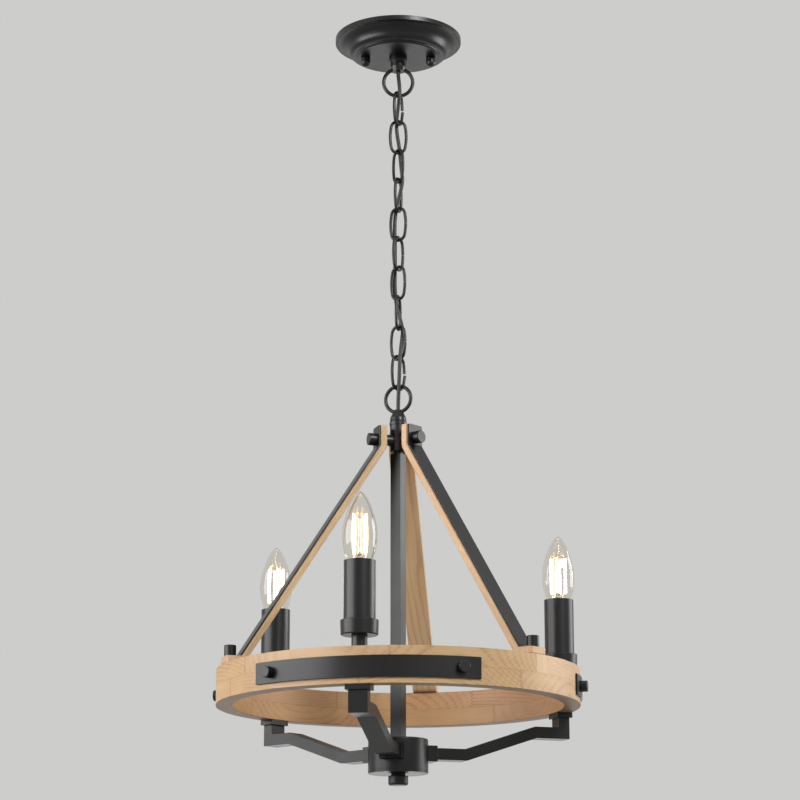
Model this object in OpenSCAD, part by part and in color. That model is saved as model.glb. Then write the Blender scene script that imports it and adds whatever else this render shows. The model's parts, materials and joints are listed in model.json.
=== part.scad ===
// Three-light wagon wheel chandelier that hangs from a ceiling canopy on a chain.
// Millimetres. The ceiling plane is z = 0, up is +Z and the front is -Y.
// Azimuths are counted from the front towards +X.

/* [Canopy] */
// Diameter of the canopy where it meets the ceiling
canopy_d = 140; // [126:1:170]
// Height of the canopy below the ceiling
canopy_h = 21.5; // [20:0.5:26]
// Sheet thickness of the canopy
canopy_wall = 1.5; // [1:0.1:1.6]
// Distance from the axis to each cap nut
stud_x = 36.3; // [33:0.1:37]
// Distance between the two screws that hold the mounting strap to the ceiling box
box_spacing = 69.8; // [66:0.1:72]

/* [Chain] */
// Outside length of one chain link
link_len = 40.6; // [38:0.2:46]
// Outside width of one chain link
link_w = 21; // [20:0.2:24]
// Thickness of the link wire
link_wire = 3.3; // [2.8:0.1:3.5]
// Outside diameter of the loop under the canopy
top_loop_d = 36.3; // [34:0.1:42]
// Outside diameter of the loop above the hub
bottom_loop_d = 33; // [32:0.1:40]
// Thickness of both loops
loop_wire = 4; // [3.6:0.1:4.2]

/* [Hub and column] */
// Diameter of the hub that the spokes are bolted to
hub_d = 17.8; // [16.5:0.1:20]
// Height of that hub
hub_h = 29; // [28:0.5:36]
// Side of the square column
column_side = 12; // [12:0.5:14]
// Wall of the square column
column_wall = 1.5; // [1:0.1:1.5]

/* [Wheel] */
// Outside diameter of the wooden rim
rim_d = 380; // [360:5:420]
// Radial thickness of the rim
rim_t = 17; // [17:0.5:20]
// Height of the rim
rim_h = 37; // [34:0.5:44]
// Azimuth of the front candle
wheel_turn = -12; // [-180:1:180]
// Height from the rim's top face to the top of the hub
spoke_rise = 265; // [240:1:300]
// Width of the wooden spokes
spoke_w = 26; // [24:0.5:30]
// Thickness of the wooden spokes
spoke_t = 6.2; // [5:0.2:7]
// Width of the metal straps on the spokes
strap_w = 21; // [19:0.5:23]
// Thickness of the metal straps on the spokes
strap_t = 2; // [1.5:0.1:2.5]
// Height of the metal bands around the rim
band_h = 21.4; // [18:0.2:26]
// Thickness of the metal bands
band_t = 2; // [1.5:0.1:2.5]
// Angle that each band covers
band_arc = 72.5; // [60:0.5:80]

/* [Arms] */
// Width of the arms, seen from above
arm_w = 19.5; // [17:0.5:20]
// Thickness of the arms, seen from the side
arm_t = 12; // [11:0.5:13]
// Wall of the arm tubes
arm_wall = 1.5; // [1.2:0.1:1.8]
// Diameter of the hub that the arms meet in
drum_d = 62.6; // [58:0.2:70]
// Height of that hub
drum_h = 35.6; // [34:0.2:42]
// Diameter of the finial
finial_d = 20.7; // [18:0.1:26]

/* [Candles] */
// Diameter of the candle cups
cup_d = 37.8; // [36:0.2:42]
// Height of the candle cups
cup_h = 15; // [14:0.5:20]
// Diameter of the candle sleeves
sleeve_d = 31.5; // [31:0.1:33]
// Height of the candle sleeves
sleeve_h = 72; // [70:1:85]
// Diameter of the bulbs
bulb_d = 35; // [34:0.5:36]

/* [Hidden] */

$fn = 96;

black_metal = "#1c1c1d";
zinc_metal = "#b8babd";
brass_metal = "#b9974e";
pale_wood = "#c99f6d";
white_plastic = "#e8e6df";
warm_glass = "#f4ead6";

// Clearances
fit_gap = 0.1;
hang_gap = 0.2;
cut = 1;

// Threads and the bores that the cord runs through
nipple_r = 5;
bore_r = 3;
m4_r = 2;
m4_hole_r = 2.3;

// Mounting strap, stud strap and canopy
strap_len = 100;
strap_w_box = 20;
sheet_t = 2;
strap_drop = 10;
knee_in = 14;
knee_out = 26;
slot_len = 12;
slot_r = 2.25;
stud_strap_len = 88;
stud_strap_w = 16;
stud_strap_top = -strap_drop - sheet_t;
screw_head_r = 4;
screw_head_h = 1.5;
screw_len = 8;
nut_flats = 14;
nut_h = 3.5;
nipple_top = -4.5;
nipple_below_canopy = 14;
block_x0 = -31;
block_x1 = -16;
block_w = 14;
block_h = 8;
lead_r = 0.9;
lead_pitch_top = 1.9;
lead_pitch_block = 4;
lip_h = 5;
lip_step = 2;
cove_w = 13;
cove_h = 9.5;
shoulder_h = canopy_h - 17;
bead_w = 1.8;
bead_h = 1;
cap_nut_r = 5.2;
cap_nut_h = 10.6;

// Loops. Both face within a few degrees of the front.
top_collar_h = 16.6;
top_collar_r = 10;
top_loop_z = -canopy_h - 29.5;
top_loop_yaw = 0;
bottom_loop_yaw = -22;
bottom_collar_h = 17.2;
bottom_collar_r = 9.4;
stub_h = 6;

// Chain. Each link hangs in the one above and is turned from it by 57 to 90 degrees.
link_yaw = [60, 3, -54, 68, -22, 55, -35, 75, -33, 42];
link_count = len(link_yaw);
link_end_r = 7.8;
link_seam = 0.5;
joint_len = 0.8;
joint_swell = 0.06;
link_half_l = (link_len - link_wire) / 2;
link_half_w = (link_w - link_wire) / 2;
link_end_z = link_half_l - link_end_r;
link_side_r = (link_half_w * link_half_w + link_end_z * link_end_z - link_end_r * link_end_r)
    / (2 * (link_half_w - link_end_r));
link_side_a = atan2(link_end_z, link_side_r - link_half_w);
link_pitch = 2 * link_half_l - link_wire - hang_gap;
first_link_z = top_loop_z - (top_loop_d - loop_wire) / 2 + (loop_wire + link_wire) / 2 + hang_gap - link_half_l;
last_link_z = first_link_z - (link_count - 1) * link_pitch;
bottom_loop_z = last_link_z - link_half_l + (loop_wire + link_wire) / 2 + hang_gap - (bottom_loop_d - loop_wire) / 2;

// Hub and column
hub_top = bottom_loop_z - 29.4;
hub_bottom = hub_top - hub_h;
neck_h = 2.6;
neck_r = 5.2;
spigot_h = 12;
column_turn = wheel_turn - 18;
boss_r = 6;
rim_top = hub_top - spoke_rise;
rim_bottom = rim_top - rim_h;
drum_top = rim_bottom - 33.6;
drum_bottom = drum_top - drum_h;
drum_wall = 2.5;
column_bottom = drum_top - 5;

// Spokes: a vertical stretch at the hub, a long slope and a flat foot on the rim. The back one stands 2 degrees off.
spoke_in_r = 16.5;
spoke_top = hub_top - 3;
spoke_bend_drop = 24.5;
spoke_skew = [0, 2, 0];
spoke_azimuths = [for (i = [0:2]) wheel_turn + 60 + 120 * i + spoke_skew[i]];
knee_r = spoke_t + strap_t + 3.8;
foot_bend_r = spoke_t + strap_t + 0.8;
foot_in_r = rim_d / 2 - 21;
foot_end_r = rim_d / 2 - 1.5;
slope_a = atan2(spoke_top - spoke_bend_drop - rim_top, foot_in_r - spoke_in_r);
knee_tangent = knee_r * tan((90 - slope_a) / 2);
foot_tangent = foot_bend_r * tan(slope_a / 2);
foot_t = foot_bend_r - (foot_bend_r - spoke_t) * cos(slope_a);
foot_corner = [foot_in_r + foot_tangent - (foot_bend_r - spoke_t) * sin(slope_a), rim_top + foot_t];
hub_bolt_drop = 17;
spoke_corner_r = 4;
bolt_shank_r = 3;
hub_bolt_head_r = 6.7;
hub_bolt_head_h = 9;
foot_bolt_head_r = 6.2;
foot_bolt_head_h = 12;
foot_bolt_len = 22;
foot_bolt_r = foot_in_r + foot_tangent + foot_bolt_head_r + 1.2;
head_chamfer = 0.5;

// Rim and bands
band_drop = 9.6;
band_skew = 0.8;
band_bolt_inset = 6;
band_bolt_r = 5.8;
band_bolt_head_h = 7;
band_bolt_len = 14;
band_shank_r = 2;

// Candles and arms
candle_azimuths = [for (i = [0:2]) wheel_turn + 120 * i];
band_azimuths = [for (a = candle_azimuths) a + band_skew];
candle_r = rim_d / 2 - 8;
pipe_r = 5;
pipe_hole_r = 5.15;
plate_len = 17;
plate_w = 25.3;
plate_h = 5.4;
arm_low_z = drum_top - 14.6;
arm_high_z = rim_bottom - 22;
arm_low_r = 72;
arm_high_r = 150;
collar_len = 8;
collar_extra = 2.2;
cup_lift = 11;
cup_stem_r = 7.9;
sleeve_wall = 1.4;
sleeve_z = rim_top + cup_lift + 2;
sleeve_top = sleeve_z + sleeve_h;
lamp_socket_r = 12.6;
lamp_socket_top = sleeve_top - 7;
lamp_socket_h = 34;
base_r = 6.9;
base_len = 22;
base_gap = 0.35;
glass_z = lamp_socket_top + 1.4;
glass_len = 76;
glass_neck_r = 12.2;
bulb_t = 1;
arm_lead_r = 2;
lead_lift = 1.8;
drum_cover_t = 2.5;
finial_h = 12;
connector_r = 4.5;
connector_h = 14;

// Route of the cord through the chain, then straight down the bores and the column.
cord_r = 2.1;
cord_route = [
    [0, 0, -6], [0, 0, -22], [0, 0, -36], [0.2, -0.8, -44], [0.9, -3, -51.5],
    [1.5, -4.7, -60], [1.5, -4.7, -68.5], [0.1, -1.7, -79.3], [-1.2, 2.4, -90.1], [-1.9, 5.2, -100.9],
    [-1, 5.6, -111.6], [0.6, 5.3, -122.4], [1.9, 4.3, -133.2], [2.7, 2.7, -143.9], [3.7, 1.2, -154.7],
    [4.6, 0.7, -165.5], [3.1, 1.6, -176.3], [0.5, 3.3, -187], [-1.8, 5, -197.8], [-3.3, 5.7, -208.6],
    [-3.8, 5.9, -219.3], [-3.6, 6, -240.9], [-3.4, 7, -262.4], [-3.5, 7.5, -273.2], [-3.6, 7.5, -284],
    [-3.2, 7.2, -294.7], [-2.1, 6.4, -305.5], [-0.1, 5.1, -316.3], [2.8, 3.7, -327.1], [4.7, 1.1, -337.8],
    [4.1, -2, -348.6], [3, -4.6, -359.4], [2, -6.5, -370.1], [1.5, -7, -380.9], [1.2, -6.5, -391.7],
    [0.7, -5.3, -402.5], [0.3, -3.4, -412], [0, -1.2, -421], [0, 0, -430], [0, 0, -442],
    [0, 0, -600], [0, 0, -782], [0, 0, -790]];

function arc(c, r, a0, a1, n = 8) =
    [for (i = [0:n]) c + r * [cos(a0 + (a1 - a0) * i / n), sin(a0 + (a1 - a0) * i / n)]];

function unit(v) = v / norm(v);

// Points on a smooth curve through the given points, m to a stretch
function spline(p, m) = let (n = len(p) - 1)
    [for (i = [0:n - 1]) let (a = p[max(i - 1, 0)], b = p[i], c = p[i + 1], d = p[min(i + 2, n)])
        for (k = [0:m - 1]) let (t = k / m)
            b + (c - a) * t / 2 + (2 * a - 5 * b + 4 * c - d) * t * t / 2
            + (3 * b - a - 3 * c + d) * t * t * t / 2,
    p[n]];

// Round bar of radius r along a path, where ref is never parallel to the path
module sweep(path, r, sides, ref) {
    last = len(path) - 1;
    rings = [for (i = [0:last])
        let (t = unit(path[min(i + 1, last)] - path[max(i - 1, 0)]), u = unit(cross(t, ref)), v = cross(t, u))
        for (k = [0:sides - 1]) path[i] + r * (u * cos(360 * k / sides) + v * sin(360 * k / sides))];
    sides_faces = [for (i = [0:last - 1], k = [0:sides - 1])
        [i * sides + k, (i + 1) * sides + k, (i + 1) * sides + (k + 1) % sides, i * sides + (k + 1) % sides]];
    start_face = [for (k = [0:sides - 1]) k];
    end_face = [for (k = [sides - 1:-1:0]) last * sides + k];
    polyhedron(rings, concat(sides_faces, [start_face, end_face]), convexity = 6);
}

// Puts what is drawn along +X on the given azimuth
module at_azimuth(a) {
    rotate([0, 0, a - 90])
        children();
}

// Draws what is drawn in the X-Y plane upright, with its X axis radial and its Y axis up
module upright(w) {
    translate([0, w / 2, 0])
        rotate([90, 0, 0])
            linear_extrude(w)
                children();
}

module ring(r_out, r_in, h) {
    difference() {
        cylinder(h = h, r = r_out);
        translate([0, 0, -cut])
            cylinder(h = h + 2 * cut, r = r_in);
    }
}

// ---- Canopy ----

module mount_strap() {
    half = strap_len / 2;
    lean = sheet_t * tan(atan2(strap_drop, knee_out - knee_in) / 2);
    top = [[half, 0], [knee_out, 0], [knee_in, -strap_drop], [-knee_in, -strap_drop], [-knee_out, 0], [-half, 0]];
    under = [[-half, -sheet_t], [-knee_out - lean, -sheet_t], [-knee_in - lean, -strap_drop - sheet_t],
        [knee_in + lean, -strap_drop - sheet_t], [knee_out + lean, -sheet_t], [half, -sheet_t]];
    color(zinc_metal)
        difference() {
            rotate([0, 0, 90])
                upright(strap_w_box)
                    polygon(concat(top, under));
            translate([0, 0, -strap_drop - sheet_t - cut])
                cylinder(h = sheet_t + 2 * cut, r = nipple_r + fit_gap);
            for (s = [-1, 1])
                translate([0, s * box_spacing / 2, -sheet_t - cut])
                    slot_cut(sheet_t + 2 * cut);
        }
}

module slot_cut(h) {
    run = slot_len / 2 - slot_r;
    for (s = [-1, 1])
        translate([0, s * run, 0])
            cylinder(h = h, r = slot_r);
    translate([-slot_r, -run, 0])
        cube([2 * slot_r, 2 * run, h]);
}

module stud_strap() {
    color(zinc_metal)
        translate([0, 0, stud_strap_top - sheet_t])
            difference() {
                translate([-stud_strap_len / 2, -stud_strap_w / 2, 0])
                    cube([stud_strap_len, stud_strap_w, sheet_t]);
                translate([0, 0, -cut])
                    cylinder(h = sheet_t + 2 * cut, r = nipple_r + fit_gap);
                for (s = [-1, 1])
                    translate([s * stud_x, 0, -cut])
                        cylinder(h = sheet_t + 2 * cut, r = m4_r + fit_gap);
            }
}

module strap_nut() {
    color(zinc_metal)
        translate([0, 0, -strap_drop])
            difference() {
                cylinder(h = nut_h, r = nut_flats / 2 / cos(30), $fn = 6);
                translate([0, 0, -cut])
                    cylinder(h = nut_h + 2 * cut, r = nipple_r + fit_gap);
            }
}

module nipple() {
    h = canopy_h + nipple_below_canopy + nipple_top;
    color(zinc_metal)
        translate([0, 0, nipple_top - h])
            ring(nipple_r, bore_r, h);
}

module canopy_screws() {
    color(zinc_metal)
        for (s = [-1, 1])
            translate([s * stud_x, 0, stud_strap_top]) {
                cylinder(h = screw_head_h, r = screw_head_r);
                translate([0, 0, -canopy_h - stud_strap_top - screw_len])
                    cylinder(h = canopy_h + stud_strap_top + screw_len, r = m4_r);
            }
}

module canopy_profile() {
    r = canopy_d / 2;
    cove_r = (cove_w * cove_w + cove_h * cove_h) / (2 * cove_h);
    cove_a = asin(cove_w / cove_r);
    cove_top = [r - lip_step, -lip_h - 0.5];
    cove_c = cove_top - [0, cove_r];
    round_r = shoulder_h / (1 - cos(cove_a));
    round_c = cove_top + [-cove_w, -cove_h] - round_r * [sin(cove_a), -cos(cove_a)];
    bead_x = round_c.x - bead_w;
    bead_z = round_c.y - round_r;
    outer = concat([[r, 0], [r, -lip_h], [r - lip_step, -lip_h]],
        arc(cove_c, cove_r, 90, 90 + cove_a),
        arc(round_c, round_r, cove_a - 90, -90),
        [[bead_x, bead_z], [bead_x - bead_h / 2, bead_z - bead_h], [bead_x - 2 * bead_h, bead_z - bead_h],
        [bead_x - 3 * bead_h, -canopy_h], [0, -canopy_h]]);
    inner = concat([[0, -canopy_h + canopy_wall], [bead_x - 3 * bead_h - canopy_wall, -canopy_h + canopy_wall],
        [bead_x - canopy_wall, bead_z + canopy_wall]],
        arc(round_c, round_r - canopy_wall, -90, cove_a - 90),
        arc(cove_c, cove_r + canopy_wall, 90 + cove_a, 90),
        [[r - canopy_wall, -lip_h - 0.5 + canopy_wall], [r - canopy_wall, 0]]);
    polygon(concat(outer, inner));
}

module canopy() {
    color(black_metal)
        difference() {
            rotate_extrude()
                canopy_profile();
            translate([0, 0, -canopy_h - cut])
                cylinder(h = canopy_wall + 2 * cut, r = nipple_r + 2 * fit_gap);
            for (s = [-1, 1])
                translate([s * stud_x, 0, -canopy_h - cut])
                    cylinder(h = canopy_wall + 2 * cut, r = m4_hole_r);
        }
}

module cap_nuts() {
    skirt_h = cap_nut_h - cap_nut_r;
    color(black_metal)
        for (s = [-1, 1])
            translate([s * stud_x, 0, -canopy_h])
                difference() {
                    rotate([180, 0, 0])
                        rotate_extrude()
                            polygon(concat([[0, 0], [cap_nut_r - 0.6, 0], [cap_nut_r, 0.6]],
                                arc([0, skirt_h], cap_nut_r, 0, 90)));
                    translate([0, 0, -screw_len - 2 * fit_gap])
                        cylinder(h = screw_len + cut, r = m4_r + fit_gap);
                }
}

module loop_ring(d) {
    rotate([90, 0, 0])
        rotate_extrude()
            translate([(d - loop_wire) / 2, 0])
                circle(d = loop_wire, $fn = 32);
}

module top_loop() {
    bottom = -canopy_h - top_collar_h;
    groove = 1;
    color(black_metal)
        difference() {
            union() {
                rotate_extrude()
                    polygon([[0, -canopy_h], [top_collar_r, -canopy_h], [top_collar_r, -canopy_h - 4],
                        [top_collar_r - groove, -canopy_h - 4.6], [top_collar_r - groove, -canopy_h - 5.6],
                        [top_collar_r - 1.6, -canopy_h - 6.2], [top_collar_r - 1.8, bottom + 5],
                        [top_collar_r - 3.3, bottom], [0, bottom]]);
                translate([0, 0, top_loop_z])
                    rotate([0, 0, top_loop_yaw])
                        loop_ring(top_loop_d);
            }
            translate([0, 0, -canopy_h - nipple_below_canopy - fit_gap])
                cylinder(h = nipple_below_canopy + cut, r = nipple_r + fit_gap);
            translate([0, 0, bottom - cut])
                cylinder(h = top_collar_h, r = bore_r);
        }
}

module terminal_block() {
    wire_hole_r = lead_r + fit_gap;
    color(white_plastic)
        translate([block_x0, -block_w / 2, stud_strap_top])
            difference() {
                cube([block_x1 - block_x0, block_w, block_h]);
                for (k = [-1:1])
                    translate([block_x1 - block_x0 - 5, block_w / 2 + k * lead_pitch_block, block_h / 2])
                        rotate([0, 90, 0])
                            cylinder(h = 5 + cut, r = wire_hole_r);
                for (k = [-1:1])
                    translate([(block_x1 - block_x0) / 3, block_w / 2 + k * lead_pitch_block, block_h - 1.5])
                        cylinder(h = 1.5 + cut, r = 1.6);
            }
}

module canopy_leads() {
    block_z = stud_strap_top + block_h / 2;
    color(brass_metal)
        for (k = [-1:1])
            sweep(spline([[0, k * lead_pitch_top, -5.9], [-0.2, k * lead_pitch_top, -4],
                [-2.2, k * lead_pitch_top, -2.2], [-6, k * 2.4, -2], [-9.5, k * 3, -3],
                [-12.5, k * 3.8, -6.4], [-15, k * lead_pitch_block, block_z], [block_x1 - 4, k * lead_pitch_block, block_z]], 2),
                lead_r, 8, [0, 1, 0]);
}

// ---- Cord ----

module cord() {
    straight_from = len(cord_route) - 4;
    woven = [for (i = [0:straight_from]) cord_route[i]];
    straight = [for (i = [straight_from + 1:len(cord_route) - 1]) cord_route[i]];
    color(black_metal)
        sweep(concat(spline(woven, 2), straight), cord_r, 10, [1, 0, 0]);
}

// ---- Chain ----

// Stretch of the link's wire: an arc of the given radius about c, from angle a0 over da
module wire_arc(c, r, a0, da) {
    trim = asin(joint_len / 4 / r);
    translate([c.x, c.y, 0])
        rotate([0, 0, a0 + trim])
            rotate_extrude(angle = da - 2 * trim)
                translate([r, 0])
                    circle(d = link_wire, $fn = 32);
}

// Short length of wire, a hair thicker, where an end bend about c runs into a leg at angle a
module wire_joint(c, a) {
    translate([c.x, c.y, 0])
        rotate([0, 0, a])
            translate([link_end_r, 0, 0])
                rotate([90, 0, 0])
                    cylinder(h = joint_len, d = link_wire + joint_swell, center = true, $fn = 32);
}

// Oval link in the X-Y plane, butted in the middle of its right leg. An open link's leg stands out there.
module link_oval(open) {
    end_sweep = 180 - 2 * link_side_a;
    side_c = link_side_r - link_half_w;
    seam_a = asin(link_seam / 2 / link_side_r);
    for (s = [-1, 1], side = [0, 180])
        wire_joint([0, s * link_end_z], side + (side == 0 ? s : -s) * link_side_a);
    wire_arc([0, link_end_z], link_end_r, link_side_a, end_sweep);
    wire_arc([0, -link_end_z], link_end_r, 180 + link_side_a, end_sweep);
    wire_arc([side_c, 0], link_side_r, 180 - link_side_a, 2 * link_side_a);
    wire_arc([-side_c, 0], link_side_r, seam_a, link_side_a - seam_a);
    if (open)
        translate([0, -link_end_z, 0])
            rotate([0, 0, -link_side_a])
                translate([link_end_r, joint_len / 4, 0])
                    rotate([-90, 0, 0])
                        cylinder(h = link_end_z - joint_len / 4, d = link_wire, $fn = 32);
    else
        wire_arc([-side_c, 0], link_side_r, -link_side_a, link_side_a - seam_a);
}

module chain_link(i) {
    open = i == 0 || i == link_count - 1;
    color(black_metal)
        translate([0, 0, first_link_z - i * link_pitch])
            rotate([0, 0, link_yaw[i]])
                rotate([90, 0, 0])
                    link_oval(open);
}

// ---- Hub and column ----

module bottom_loop() {
    neck_top = hub_top + bottom_collar_h;
    color(black_metal)
        difference() {
            union() {
                rotate_extrude()
                    polygon([[0, hub_top], [bottom_collar_r, hub_top], [bottom_collar_r, hub_top + 3.2],
                        [bottom_collar_r - 0.8, hub_top + 3.6], [bottom_collar_r - 0.8, hub_top + 4.4],
                        [bottom_collar_r - 0.4, hub_top + 4.8], [bottom_collar_r - 0.8, hub_top + 8.4],
                        [bottom_collar_r - 2.6, hub_top + 12.4], [bottom_collar_r - 4.5, neck_top - 0.6],
                        [bottom_collar_r - 5, neck_top], [0, neck_top]]);
                translate([0, 0, bottom_loop_z])
                    rotate([0, 0, bottom_loop_yaw])
                        loop_ring(bottom_loop_d);
            }
            translate([0, 0, hub_top - cut])
                cylinder(h = stub_h + cut + fit_gap, r = nipple_r + fit_gap);
            translate([0, 0, hub_top])
                cylinder(h = bottom_collar_h + cut, r = bore_r);
        }
}

module top_hub() {
    spigot_side = column_side - 2 * column_wall - 2 * fit_gap;
    color(black_metal)
        difference() {
            union() {
                translate([0, 0, hub_bottom])
                    cylinder(h = hub_h, d = hub_d);
                translate([0, 0, hub_top])
                    cylinder(h = stub_h, r = nipple_r);
                translate([0, 0, hub_bottom - neck_h])
                    cylinder(h = neck_h, r = neck_r);
                rotate([0, 0, column_turn])
                    translate([-spigot_side / 2, -spigot_side / 2, hub_bottom - neck_h - spigot_h])
                        cube([spigot_side, spigot_side, spigot_h]);
                for (a = spoke_azimuths)
                    at_azimuth(a)
                        translate([0, 0, hub_top - hub_bolt_drop])
                            rotate([0, 90, 0])
                                cylinder(h = spoke_in_r, r = boss_r);
            }
            translate([0, 0, hub_bottom - neck_h - spigot_h - cut])
                cylinder(h = hub_h + neck_h + spigot_h + stub_h + 2 * cut, r = bore_r);
            for (a = spoke_azimuths)
                at_azimuth(a)
                    translate([hub_d / 2 - 3, 0, hub_top - hub_bolt_drop])
                        rotate([0, 90, 0])
                            cylinder(h = spoke_in_r, r = bolt_shank_r + fit_gap);
        }
}

module column() {
    h = hub_bottom - neck_h - column_bottom;
    inner = column_side - 2 * column_wall;
    color(black_metal)
        rotate([0, 0, column_turn])
            translate([0, 0, column_bottom])
                difference() {
                    translate([-column_side / 2, -column_side / 2, 0])
                        cube([column_side, column_side, h]);
                    translate([-inner / 2, -inner / 2, -cut])
                        cube([inner, inner, h + 2 * cut]);
                }
}

// ---- Spokes ----

// Edge of a spoke's layer at a depth counted from the spoke's inner face, from the hub down to where it ends
function spoke_edge(d, end) = concat([[spoke_in_r + d, spoke_top]],
    arc([spoke_in_r + knee_r, spoke_top - spoke_bend_drop + knee_tangent], knee_r - d, 180, 270 - slope_a, 5), end);

// Side views of the wood, whose foot lies on the rim, and of the strap, which ends on top of the foot
module wood_side() {
    foot_bend = arc([foot_in_r + foot_tangent, rim_top + foot_bend_r], foot_bend_r, 270 - slope_a, 270, 6);
    inner = spoke_edge(0, concat(foot_bend, [[foot_end_r, rim_top]]));
    outer = spoke_edge(spoke_t, [foot_corner, [foot_end_r, rim_top + foot_t]]);
    last = len(outer) - 1;
    polygon(concat(inner, [for (k = [last:-1:0]) outer[k]]));
}

module strap_side() {
    inner = spoke_edge(spoke_t, [foot_corner]);
    outer = spoke_edge(spoke_t + strap_t, [foot_corner + [strap_t / sin(slope_a), 0]]);
    last = len(outer) - 1;
    polygon(concat(inner, [for (k = [last:-1:0]) outer[k]]));
}

// What keeps the corners round at both ends of a layer of width w
module corner_keeper(w, end_r) {
    r = spoke_corner_r;
    size = 2 * rim_d;
    difference() {
        union() {
            translate([-cut, -w / 2, rim_top - cut])
                cube([end_r - r + cut, w, size]);
            translate([-cut, -w / 2 + r, rim_top - cut])
                cube([end_r + cut, w - 2 * r, size]);
            for (s = [-1, 1])
                translate([end_r - r, s * (w / 2 - r), rim_top - cut])
                    cylinder(h = size, r = r);
        }
        for (s = [-1, 1])
            translate([-2 * cut, s * (w / 2 - r / 2), spoke_top - r / 2])
                difference() {
                    translate([0, s > 0 ? 0 : -r, 0])
                        cube([size, r, size]);
                    rotate([0, 90, 0])
                        translate([0, 0, -cut])
                            cylinder(h = size + 2 * cut, r = r / 2);
                }
    }
}

// Cuts a spoke's side view, drawn by the child, to its width and drills it for both bolts
module spoke_layer(w) {
    difference() {
        intersection() {
            upright(w)
                children();
            corner_keeper(w, foot_end_r);
        }
        translate([0, 0, hub_top - hub_bolt_drop])
            rotate([0, 90, 0])
                cylinder(h = 2 * spoke_in_r, r = bolt_shank_r + fit_gap);
        translate([foot_bolt_r, 0, rim_top - cut])
            cylinder(h = 2 * foot_t, r = bolt_shank_r + fit_gap);
    }
}

module spoke_wood(i) {
    color(pale_wood)
        at_azimuth(spoke_azimuths[i])
            spoke_layer(spoke_w)
                wood_side();
}

module spoke_strap(i) {
    color(black_metal)
        at_azimuth(spoke_azimuths[i])
            spoke_layer(strap_w)
                strap_side();
}

// Bolt along +Z with its head at the top, z = 0 under the head
module cap_bolt(head_r, head_h, shank_r, shank_len) {
    translate([0, 0, head_h - head_chamfer])
        cylinder(h = head_chamfer, r1 = head_r, r2 = head_r - head_chamfer);
    cylinder(h = head_h - head_chamfer, r = head_r);
    translate([0, 0, -shank_len])
        cylinder(h = shank_len, r = shank_r);
}

module hub_bolts() {
    seat_r = spoke_in_r + spoke_t + strap_t;
    color(black_metal)
        for (a = spoke_azimuths)
            at_azimuth(a)
                translate([seat_r, 0, hub_top - hub_bolt_drop])
                    rotate([0, 90, 0])
                        cap_bolt(hub_bolt_head_r, hub_bolt_head_h, bolt_shank_r, seat_r - hub_d / 2 + 2.5);
}

module foot_bolts() {
    color(black_metal)
        for (a = spoke_azimuths)
            at_azimuth(a)
                translate([foot_bolt_r, 0, rim_top + foot_t])
                    cap_bolt(foot_bolt_head_r, foot_bolt_head_h, bolt_shank_r, foot_bolt_len);
}

// ---- Rim and bands ----

module wheel_rim() {
    color(pale_wood)
        difference() {
            translate([0, 0, rim_bottom])
                ring(rim_d / 2, rim_d / 2 - rim_t, rim_h);
            for (a = spoke_azimuths)
                at_azimuth(a)
                    translate([foot_bolt_r, 0, rim_top + foot_t - foot_bolt_len - fit_gap])
                        cylinder(h = foot_bolt_len + cut, r = bolt_shank_r + fit_gap);
            for (a = candle_azimuths)
                at_azimuth(a)
                    translate([candle_r, 0, rim_bottom - cut])
                        cylinder(h = rim_h + 2 * cut, r = pipe_hole_r);
            for (a = band_azimuths, s = [-1, 1])
                at_band_bolt(a, s)
                    translate([0, 0, -band_t - band_bolt_len + 3])
                        cylinder(h = band_bolt_len + cut, r = band_shank_r + fit_gap);
        }
}

// Puts what is drawn along +Z, from z = 0 on the band's outer face, at one of a band's two bolts
module at_band_bolt(a, s) {
    at_azimuth(a + s * (band_arc / 2 - band_bolt_inset))
        translate([rim_d / 2 + band_t, 0, rim_top - band_drop - band_h / 2])
            rotate([0, 90, 0])
                children();
}

module rim_band(i) {
    color(black_metal)
        difference() {
            at_azimuth(band_azimuths[i] - band_arc / 2)
                translate([0, 0, rim_top - band_drop - band_h])
                    rotate_extrude(angle = band_arc)
                        translate([rim_d / 2, 0])
                            square([band_t, band_h]);
            for (s = [-1, 1])
                at_band_bolt(band_azimuths[i], s)
                    translate([0, 0, -2 * band_t])
                        cylinder(h = 3 * band_t, r = band_shank_r + fit_gap);
        }
}

module band_bolts() {
    color(black_metal)
        for (a = band_azimuths, s = [-1, 1])
            at_band_bolt(a, s)
                cap_bolt(band_bolt_r, band_bolt_head_h, band_shank_r, band_t + band_bolt_len - 5);
}

// ---- Arms ----

// Side view of the arm tube's outline, moved inwards by the given depth
module arm_side(d) {
    half = arm_t / 2 - d;
    slope = atan2(arm_high_z - arm_low_z, arm_high_r - arm_low_r);
    shift = half * tan(slope / 2);
    post_r = candle_r;
    top_z = rim_bottom - plate_h;
    polygon([[drum_d / 2 - drum_wall, arm_low_z - half], [arm_low_r + shift, arm_low_z - half],
        [arm_high_r + shift, arm_high_z - half], [post_r + half, arm_high_z - half], [post_r + half, top_z],
        [post_r - half, top_z], [post_r - half, arm_high_z + half], [arm_high_r - shift, arm_high_z + half],
        [arm_low_r - shift, arm_low_z + half], [drum_d / 2 - drum_wall, arm_low_z + half]]);
}

module arm(i) {
    block = arm_t + 2 * collar_extra;
    color(black_metal)
        at_azimuth(candle_azimuths[i])
            difference() {
                union() {
                    upright(arm_w)
                        arm_side(0);
                    translate([drum_d / 2 - drum_wall, -arm_w / 2 - collar_extra, arm_low_z - block / 2])
                        cube([collar_len + drum_wall, arm_w + 2 * collar_extra, block]);
                }
                upright(arm_w - 2 * arm_wall)
                    arm_bore();
                cylinder(h = 4 * rim_d, r = drum_d / 2 - drum_wall, center = true);
            }
}

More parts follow.
